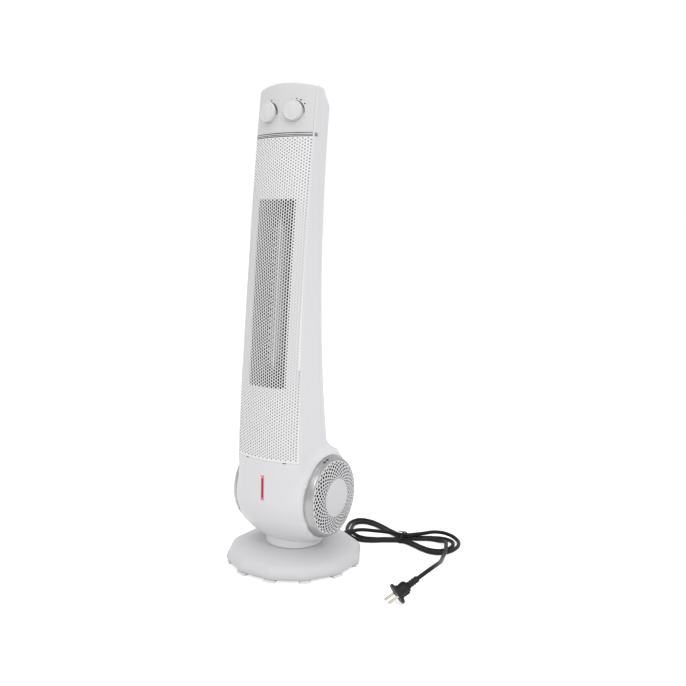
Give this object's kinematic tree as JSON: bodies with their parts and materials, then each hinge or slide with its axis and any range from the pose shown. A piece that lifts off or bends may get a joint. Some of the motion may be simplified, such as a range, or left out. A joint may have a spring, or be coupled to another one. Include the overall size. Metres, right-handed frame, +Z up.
{
  "type": "tower fan heater",
  "caption": "Slim tower fan heater with a drum-shaped blower foot, perforated hot air front, side intake covers, control dials and a round swivelling base, with its tied mains lead.",
  "frame": {"origin": "on the floor, at the axis of the round base on which the heater swivels", "axes": "+Z up, the hot air front faces -Y, +X to the right as seen from the front"},
  "size_m": [0.3734, 0.3343, 0.769],
  "materials": {
    "shell_white": "satin moulded plastic",
    "panel_white": "satin moulded plastic",
    "base_white": "satin moulded plastic",
    "grille_white": "fine perforated sheet, satin white",
    "ring_silver": "silver metallic lacquer",
    "lens_red": "clear tinted plastic",
    "cord_black": "satin black sheath",
    "inner_grey": "moulded plastic",
    "inner_black": "moulded plastic",
    "nylon": "self-coloured nylon",
    "foam": "open foam",
    "steel": "zinc plated",
    "aluminium": "mill finish",
    "ceramic": "fired ceramic",
    "board_green": "circuit board",
    "pin_nickel": "nickel plated"
  },
  "bodies": {
    "base": {"base_shell": "base_white", "base_plate": "base_white", "foot_pads": "base_white", "base_screws": "steel", "swivel_bush": "nylon", "swivel_washer": "nylon", "swing_motor": "steel", "terminal_block": "nylon", "tip_switch": "inner_black", "cord_gland": "cord_black", "cord_lead": "cord_black", "cord_hank": "cord_black", "cord_tie": "cord_black", "cord_tail": "cord_black", "plug_body": "cord_black", "plug_pins": "pin_nickel"},
    "column": {"turntable": "base_white", "swing_gear": "nylon", "retainer_ring": "steel", "turntable_screws": "steel", "front_shell": "shell_white", "rear_shell": "shell_white", "shell_screws": "steel", "control_panel": "panel_white", "trim_strip": "ring_silver", "front_grille": "grille_white", "indicator_lens": "lens_red", "indicator_board": "board_green", "side_ring_left": "ring_silver", "side_ring_right": "ring_silver", "filter_left": "foam", "filter_right": "foam", "scroll_left": "inner_grey", "scroll_right": "inner_grey", "fan_motor": "steel", "air_duct": "inner_grey", "heater_frame": "inner_black", "heater_fins": "aluminium", "ceramic_strips": "ceramic", "thermal_cutout": "steel", "thermostat": "steel", "rotary_switch": "nylon"},
    "tip_plunger": {"tip_plunger": "nylon"},
    "swing_pinion": {"swing_pinion": "nylon"},
    "rotor": {"fan_shaft": "steel", "impeller_left": "inner_grey", "impeller_right": "inner_grey"},
    "thermostat_dial": {"thermostat_shaft": "steel", "thermostat_knob": "shell_white"},
    "switch_dial": {"switch_shaft": "steel", "switch_knob": "shell_white"},
    "cover_left": {"side_cover_left": "shell_white"},
    "cover_right": {"side_cover_right": "shell_white"}
  },
  "joints": [
    {"name": "swivel", "type": "hinge", "parent": "base", "child": "column", "pos_m": [0, 0, 0.0415], "axis": [0, 0, 1], "range_deg": [-35, 35]},
    {"name": "pinion_spin", "type": "hinge", "parent": "base", "child": "swing_pinion", "pos_m": [0.036, 0, 0.0242], "axis": [0, 0, 1], "range_deg": [-176, 176]},
    {"name": "tip_plunger_drop", "type": "slide", "parent": "base", "child": "tip_plunger", "axis": [0, 0, -1], "range_m": [0, 0.003]},
    {"name": "fan_spin", "type": "hinge", "parent": "column", "child": "rotor", "pos_m": [0, 0, 0.119], "axis": [1, 0, 0], "continuous": true},
    {"name": "thermostat_turn", "type": "hinge", "parent": "column", "child": "thermostat_dial", "pos_m": [-0.023, -0.03186, 0.725], "axis": [-0.155, -0.9789, 0.1331], "range_deg": [-270, 0]},
    {"name": "switch_turn", "type": "hinge", "parent": "column", "child": "switch_dial", "pos_m": [0.023, -0.03186, 0.725], "axis": [0.155, -0.9789, 0.1331], "range_deg": [-70, 0]},
    {"name": "cover_left_twist", "type": "hinge", "parent": "column", "child": "cover_left", "pos_m": [-0.079, 0, 0.119], "axis": [1, 0, 0], "range_deg": [0, 20]},
    {"name": "cover_right_twist", "type": "hinge", "parent": "column", "child": "cover_right", "pos_m": [0.079, 0, 0.119], "axis": [1, 0, 0], "range_deg": [0, 20]}
  ],
  "couplings": [
    {"joint": "pinion_spin", "follows": "swivel", "ratio": -5}
  ]
}
